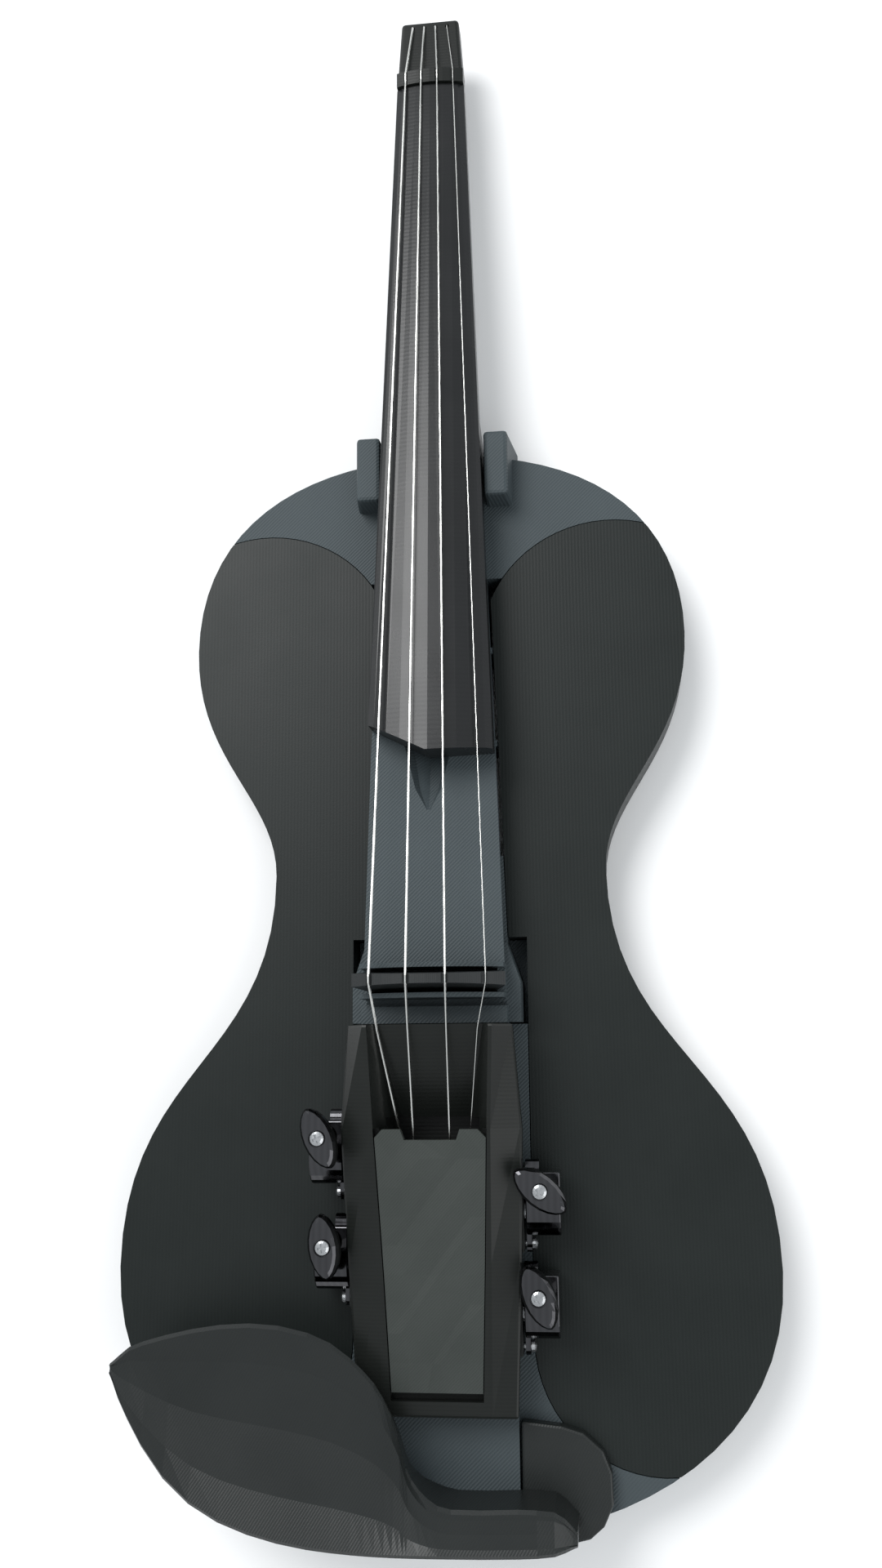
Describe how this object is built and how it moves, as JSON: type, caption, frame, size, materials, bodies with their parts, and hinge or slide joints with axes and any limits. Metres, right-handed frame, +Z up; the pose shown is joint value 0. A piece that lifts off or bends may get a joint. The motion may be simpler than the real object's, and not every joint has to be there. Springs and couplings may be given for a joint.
{
  "type": "electric violin",
  "caption": "Headless electric violin: printed spine and wings, strings run over a bridge into a tuner box with worm tuning machines, chinrest on the left.",
  "frame": {"origin": "on the flat back, straight below the bridge's string line", "axes": "+X to the player's right, +Y from the tail to the head, +Z up from the back"},
  "size_m": [0.2124, 0.5304, 0.0575],
  "materials": {
    "core_print": "matte printed plastic, blue grey",
    "wing_shell": "matte charcoal",
    "satin_black": "satin black",
    "lid_print": "matte printed plastic with low relief",
    "bridge_black": "satin black",
    "string_steel": "polished steel",
    "tuner_black": "black chrome",
    "tuner_chrome": "bright chrome",
    "screw_steel": "bright steel",
    "brass": "bright brass",
    "piezo": "bare metal strip"
  },
  "bodies": {
    "violin": {"core_body": "core_print", "left_wing": "wing_shell", "right_wing": "wing_shell", "neck": "satin_black", "fingerboard": "satin_black", "nut": "satin_black", "head_cap": "satin_black", "bridge": "bridge_black", "piezo_strip": "piezo", "tuner_box": "satin_black", "chinrest": "satin_black", "output_jack": "tuner_chrome", "jack_nut": "tuner_chrome", "neck_bolt_1": "screw_steel", "neck_bolt_2": "screw_steel", "box_screw_1": "screw_steel", "box_screw_2": "screw_steel", "chinrest_screw_1": "screw_steel", "chinrest_screw_2": "screw_steel", "string_g": "string_steel", "ball_end_g": "brass", "housing_g": "tuner_black", "bushing_g": "tuner_chrome", "mounting_screw_g": "screw_steel", "string_e": "string_steel", "ball_end_e": "brass", "housing_e": "tuner_black", "bushing_e": "tuner_chrome", "mounting_screw_e": "screw_steel", "string_d": "string_steel", "ball_end_d": "brass", "housing_d": "tuner_black", "bushing_d": "tuner_chrome", "mounting_screw_d": "screw_steel", "string_a": "string_steel", "ball_end_a": "brass", "housing_a": "tuner_black", "bushing_a": "tuner_chrome", "mounting_screw_a": "screw_steel"},
    "lid": {"box_lid": "lid_print"},
    "tuner_g": {"worm_g": "screw_steel", "button_g": "tuner_black", "button_screw_g": "screw_steel"},
    "post_g": {"post_g": "tuner_chrome"},
    "tuner_e": {"worm_e": "screw_steel", "button_e": "tuner_black", "button_screw_e": "screw_steel"},
    "post_e": {"post_e": "tuner_chrome"},
    "tuner_d": {"worm_d": "screw_steel", "button_d": "tuner_black", "button_screw_d": "screw_steel"},
    "post_d": {"post_d": "tuner_chrome"},
    "tuner_a": {"worm_a": "screw_steel", "button_a": "tuner_black", "button_screw_a": "screw_steel"},
    "post_a": {"post_a": "tuner_chrome"}
  },
  "joints": [
    {"name": "lid_lift", "type": "slide", "parent": "violin", "child": "lid", "axis": [0, 0, 1], "range_m": [0, 0.03]},
    {"name": "tuner_turn_g", "type": "hinge", "parent": "violin", "child": "tuner_g", "pos_m": [-0.03374, -0.0486, 0.0335], "axis": [0, 0, 1], "continuous": true},
    {"name": "post_turn_g", "type": "hinge", "parent": "violin", "child": "post_g", "pos_m": [0, -0.0561, 0.0335], "axis": [1, 0, 0], "continuous": true},
    {"name": "tuner_turn_e", "type": "hinge", "parent": "violin", "child": "tuner_e", "pos_m": [0.03323, -0.0642, 0.0318], "axis": [0, 0, 1], "continuous": true},
    {"name": "post_turn_e", "type": "hinge", "parent": "violin", "child": "post_e", "pos_m": [0, -0.0717, 0.0318], "axis": [1, 0, 0], "continuous": true},
    {"name": "tuner_turn_d", "type": "hinge", "parent": "violin", "child": "tuner_d", "pos_m": [-0.03269, -0.0808, 0.0298], "axis": [0, 0, 1], "continuous": true},
    {"name": "post_turn_d", "type": "hinge", "parent": "violin", "child": "post_d", "pos_m": [0, -0.0883, 0.0298], "axis": [1, 0, 0], "continuous": true},
    {"name": "tuner_turn_a", "type": "hinge", "parent": "violin", "child": "tuner_a", "pos_m": [0.03201, -0.095, 0.0282], "axis": [0, 0, 1], "continuous": true},
    {"name": "post_turn_a", "type": "hinge", "parent": "violin", "child": "post_a", "pos_m": [0, -0.1025, 0.0282], "axis": [1, 0, 0], "continuous": true}
  ],
  "couplings": [
    {"joint": "post_turn_g", "follows": "tuner_turn_g", "ratio": 0.066667},
    {"joint": "post_turn_e", "follows": "tuner_turn_e", "ratio": -0.066667},
    {"joint": "post_turn_d", "follows": "tuner_turn_d", "ratio": 0.066667},
    {"joint": "post_turn_a", "follows": "tuner_turn_a", "ratio": -0.066667}
  ]
}
